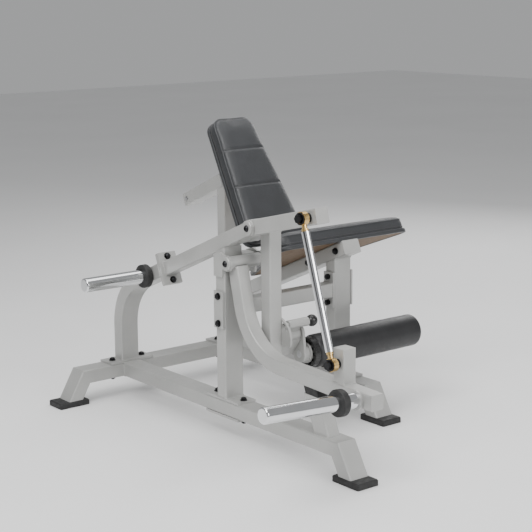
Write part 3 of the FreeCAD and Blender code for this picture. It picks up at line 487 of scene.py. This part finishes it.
def groove(obj, face_level, lines, depth, width):
    """Sink sewn channels across the face, one at each distance along."""
    for v in obj.data.vertices:
        if v.co.z < face_level - 0.035:
            continue
        for line in lines:
            gap = abs(v.co.x - line) / width
            v.co.z -= depth * math.exp(-gap * gap)


def level_loop(obj, level, count, lift):
    """Points round a cushion's side at one height, just proud of its surface."""
    tree = BVHTree.FromPolygons([v.co for v in obj.data.vertices], [p.vertices for p in obj.data.polygons])
    xs = [v.co.x for v in obj.data.vertices]
    mid = (min(xs) + max(xs)) / 2
    half = (max(xs) - min(xs)) / 2
    points = []
    for i in range(count):
        a = 2 * math.pi * i / count
        out = Vector((math.cos(a), math.sin(a), 0))
        centre = Vector((mid + out.x * half * 0.25, 0, level))
        hit = tree.ray_cast(centre + out * 1.0, -out)[0]
        if hit is not None:
            points.append(hit + out * lift)
    even = []
    total = sum((points[(i + 1) % len(points)] - p).length for i, p in enumerate(points))
    gap = total / count
    carried = 0.0
    for i, p in enumerate(points):
        q = points[(i + 1) % len(points)]
        length = (q - p).length
        while carried < length:
            even.append(p.lerp(q, carried / length))
            carried += gap
        carried -= length
    return even


def cushion(node, name, place, low, face, channels):
    """Upholstered cushion in place of a CAD pad, with its channels, piping and seam."""
    obj = shrunk_copy(node, name, place, INSET, low, CUSHION)
    inflate(obj, low)
    smooth = obj.modifiers.new("smooth", "SMOOTH")
    smooth.iterations = 14
    smooth.factor = 0.5
    finer = obj.modifiers.new("finer", "SUBSURF")
    finer.levels = 1
    finer.render_levels = 1
    apply_all(obj)
    groove(obj, face, channels, CHANNEL_DEPTH, CHANNEL_WIDTH)
    for v in obj.data.vertices:
        v.co.z = max(v.co.z, low + 0.0004)
    rings = {}
    rings["piping"] = level_loop(obj, face - 0.016, RING_POINTS, 0.0006)
    rings["base_seam"] = level_loop(obj, low + 0.009, RING_POINTS, 0.0002)
    obj.data.transform(place)
    mesh = obj.data
    bpy.data.objects.remove(obj)
    made = new_object(name, mesh, BODY[node], "vinyl")
    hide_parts(node)
    # The piping ring wears the lighter vinyl, which carries a painted highlight along the cushion edge.
    for part, radius, slot in (("piping", 0.0024, "piping"), ("base_seam", 0.0012, "thread")):
        points = [place @ p for p in rings[part]]
        swept(f"{name}_{part}", points, [radius] * len(points), BODY[node], slot)


def skirt(node, name, place, low, high):
    """Vinyl drawn down over the edge of a board and stapled beneath it."""
    copy = bpy.data.objects.new(name, NODES[node].data.copy())
    copy.data.transform(place.inverted())
    ring = level_loop(copy, (low + high) / 2, RING_POINTS, 0.0)
    bpy.data.objects.remove(copy)
    verts, faces = [], []
    n = len(ring)
    shape = [(-0.0140, low - 0.0009), (0.0004, low - 0.0010), (0.0013, low + 0.0012),
             (0.0015, (low + high) / 2), (0.0010, high), (-0.0010, high + 0.0014),
             (-0.0150, high + 0.0016), (-0.0150, high - 0.0010)]
    m = len(shape)
    for i, p in enumerate(ring):
        run = (ring[(i + 1) % n] - ring[i - 1]).normalized()
        out = Vector((run.y, -run.x, 0))
        for reach, level in shape:
            q = p + out * reach
            verts.append(place @ Vector((q.x, q.y, level)))
    for i in range(n):
        j = (i + 1) % n
        for k in range(m):
            faces.append((i * m + k, i * m + (k + 1) % m, j * m + (k + 1) % m, j * m + k))
    mesh = mesh_from(name, verts, faces)
    face_outward(mesh)
    return new_object(name, mesh, BODY[node.replace("board", "pad")], "vinyl")


BODY = {"seat_pad": "frame", "backrest_pad": "backrest"}
# The piping is a real seam, but its vinyl tone, lighter than the cushion's, is partly a painted highlight
# along the cushion edge.
MATS["piping"] = vinyl("piping_vinyl_painted_highlight", (0.05, 0.052, 0.055))
MATS["thread"] = vinyl("dark_thread", (0.03, 0.03, 0.032))

seat_place = local_frame(seat_front, -slope_dir(23.3), seat_up)
lean = math.radians(34.0)
back_place = local_frame(at(SEAT_X, -197, 760), Vector((0, math.sin(lean), math.cos(lean))),
                         Vector((0, -math.cos(lean), math.sin(lean))))

cushion("seat_pad", "seat_cushion", seat_place, BOARD, BOARD + CUSHION, ())
cushion("backrest_pad", "backrest_cushion", back_place, -CUSHION, 0.0, (0.0, 0.151))

skirt("seat_board", "seat_skirt", seat_place, 0.0, BOARD)
skirt("backrest_board", "backrest_skirt", back_place, -CUSHION - BOARD, -CUSHION)

# --- roller -----------------------------------------------------------------------------
def turned_on(node, name, axis, body, slot, profile):
    """Turned piece on a CAD node's own axis, from its low x end."""
    low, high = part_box(node)
    start = (low + high) / 2
    start.x = low.x
    return lathe(name, start, axis, profile, body, slot)


foam_low, foam_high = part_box("roller_foam")
foam_length = foam_high.x - foam_low.x
foam_r = (foam_high.z - foam_low.z) / 2
foam_profile = [(0.0, 0.0212), (0.0, 0.044)]
for i in range(7):
    a = math.radians(90 - 15 * i)
    foam_profile.append((0.0105 - 0.0105 * math.sin(a), foam_r - 0.0115 + 0.0105 * math.cos(a)))
for i in range(1, 48):
    t = i / 48
    swell = -0.0010 + 0.0008 * math.sin(math.pi * t) + 0.0002 * math.sin(t * 40)
    foam_profile.append((0.0105 + t * (foam_length - 0.021), foam_r + swell))
for i in range(7):
    a = math.radians(15 * i)
    foam_profile.append((foam_length - 0.0105 + 0.0105 * math.sin(a), foam_r - 0.0115 + 0.0105 * math.cos(a)))
foam_profile += [(foam_length, 0.044), (foam_length, 0.0212)]
foam = turned_on("roller_foam", "roller_foam_skin", X, "roller", "foam", foam_profile)
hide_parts("roller_foam")

# --- CAD pieces that stay: rounded edges -------------------------------------------------
SOFT_EDGE = {
    "frame_paint": 0.0009, "lever_paint": 0.0009, "zinc": 0.0005, "chrome": 0.0008, "steel": 0.0004,
    "black_oxide": 0.0005, "brass": 0.0004, "rubber": 0.0010, "plywood": 0.0008, "plastic": 0.0006,
}
for name, node in NODES.items():
    width = SOFT_EDGE.get(SLOT_OF[name])
    if width is None or name in ("roller_foam", "seat_pad", "backrest_pad"):
        continue
    bevel = node.modifiers.new("edge", "BEVEL")
    bevel.width = width
    bevel.segments = 2
    bevel.limit_method = "ANGLE"
    bevel.angle_limit = math.radians(35)
    bevel.harden_normals = False


def floor():
    size = 14.0
    corners = [(-size, -size), (size, -size), (size, size), (-size, size)]
    mesh = mesh_from("floor", [(x, y, -0.0005) for x, y in corners], [(0, 1, 2, 3)])
    obj = bpy.data.objects.new("floor", mesh)
    bpy.context.scene.collection.objects.link(obj)
    m = Mat("pale_floor")
    colour = m.ramp(m.noise(0.8, 3.0), [(0.3, (0.83, 0.83, 0.83)), (0.7, (0.86, 0.86, 0.86))])
    normal = m.bump(m.noise(60.0), 0.02, 0.001)
    obj.data.materials.append(m.finish(colour, m.span(m.noise(4.0), 0.55, 0.65), normal))


def light(name, place, target, size, power):
    data = bpy.data.lights.new(name, "AREA")
    data.shape = "RECTANGLE"
    data.size, data.size_y = size
    data.energy = power
    obj = bpy.data.objects.new(name, data)
    bpy.context.scene.collection.objects.link(obj)
    obj.location = place
    obj.rotation_euler = (Vector(target) - Vector(place)).to_track_quat("-Z", "Y").to_euler()


def flag(name, centre, wide, tall, turn):
    """Dark card beside the set for the chrome to mirror, hidden from the camera."""
    across = Vector((math.cos(turn), math.sin(turn), 0)) * wide / 2
    up = Z * tall / 2
    c = Vector(centre)
    corners = [c - across - up, c + across - up, c + across + up, c - across + up]
    mesh = mesh_from(name, corners, [(0, 1, 2, 3)])
    obj = bpy.data.objects.new(name, mesh)
    bpy.context.scene.collection.objects.link(obj)
    m = Mat(name)
    colour = m.ramp(m.noise(2.0), [(0.3, (0.02, 0.02, 0.02)), (0.7, (0.03, 0.03, 0.03))])
    normal = m.bump(m.noise(60.0), 0.02, 0.001)
    obj.data.materials.append(m.finish(colour, m.span(m.noise(4.0), 0.7, 0.9), normal))
    obj.visible_camera = False


floor()
flag("flag_left", (-5.2, -0.6, 1.5), 4.2, 1.6, math.radians(90))
flag("flag_front", (0.8, -6.2, 2.0), 3.2, 1.2, 0.0)
light("key", (-2.6, -1.2, 3.4), (0, 0, 0.4), (2.2, 2.2), 150)
light("front", (0.6, -4.2, 2.0), (0, 0, 0.5), (2.4, 1.8), 95)
light("top", (0.4, 0.4, 4.0), (0, 0, 0.3), (3.4, 3.4), 95)
light("far", (3.6, 1.8, 2.2), (0, 0, 0.5), (2.0, 2.0), 45)

world = bpy.data.worlds.new("studio")
world.use_nodes = True
world.node_tree.nodes["Background"].inputs["Color"].default_value = (0.93, 0.94, 0.95, 1)
world.node_tree.nodes["Background"].inputs["Strength"].default_value = 0.42
bpy.context.scene.world = world

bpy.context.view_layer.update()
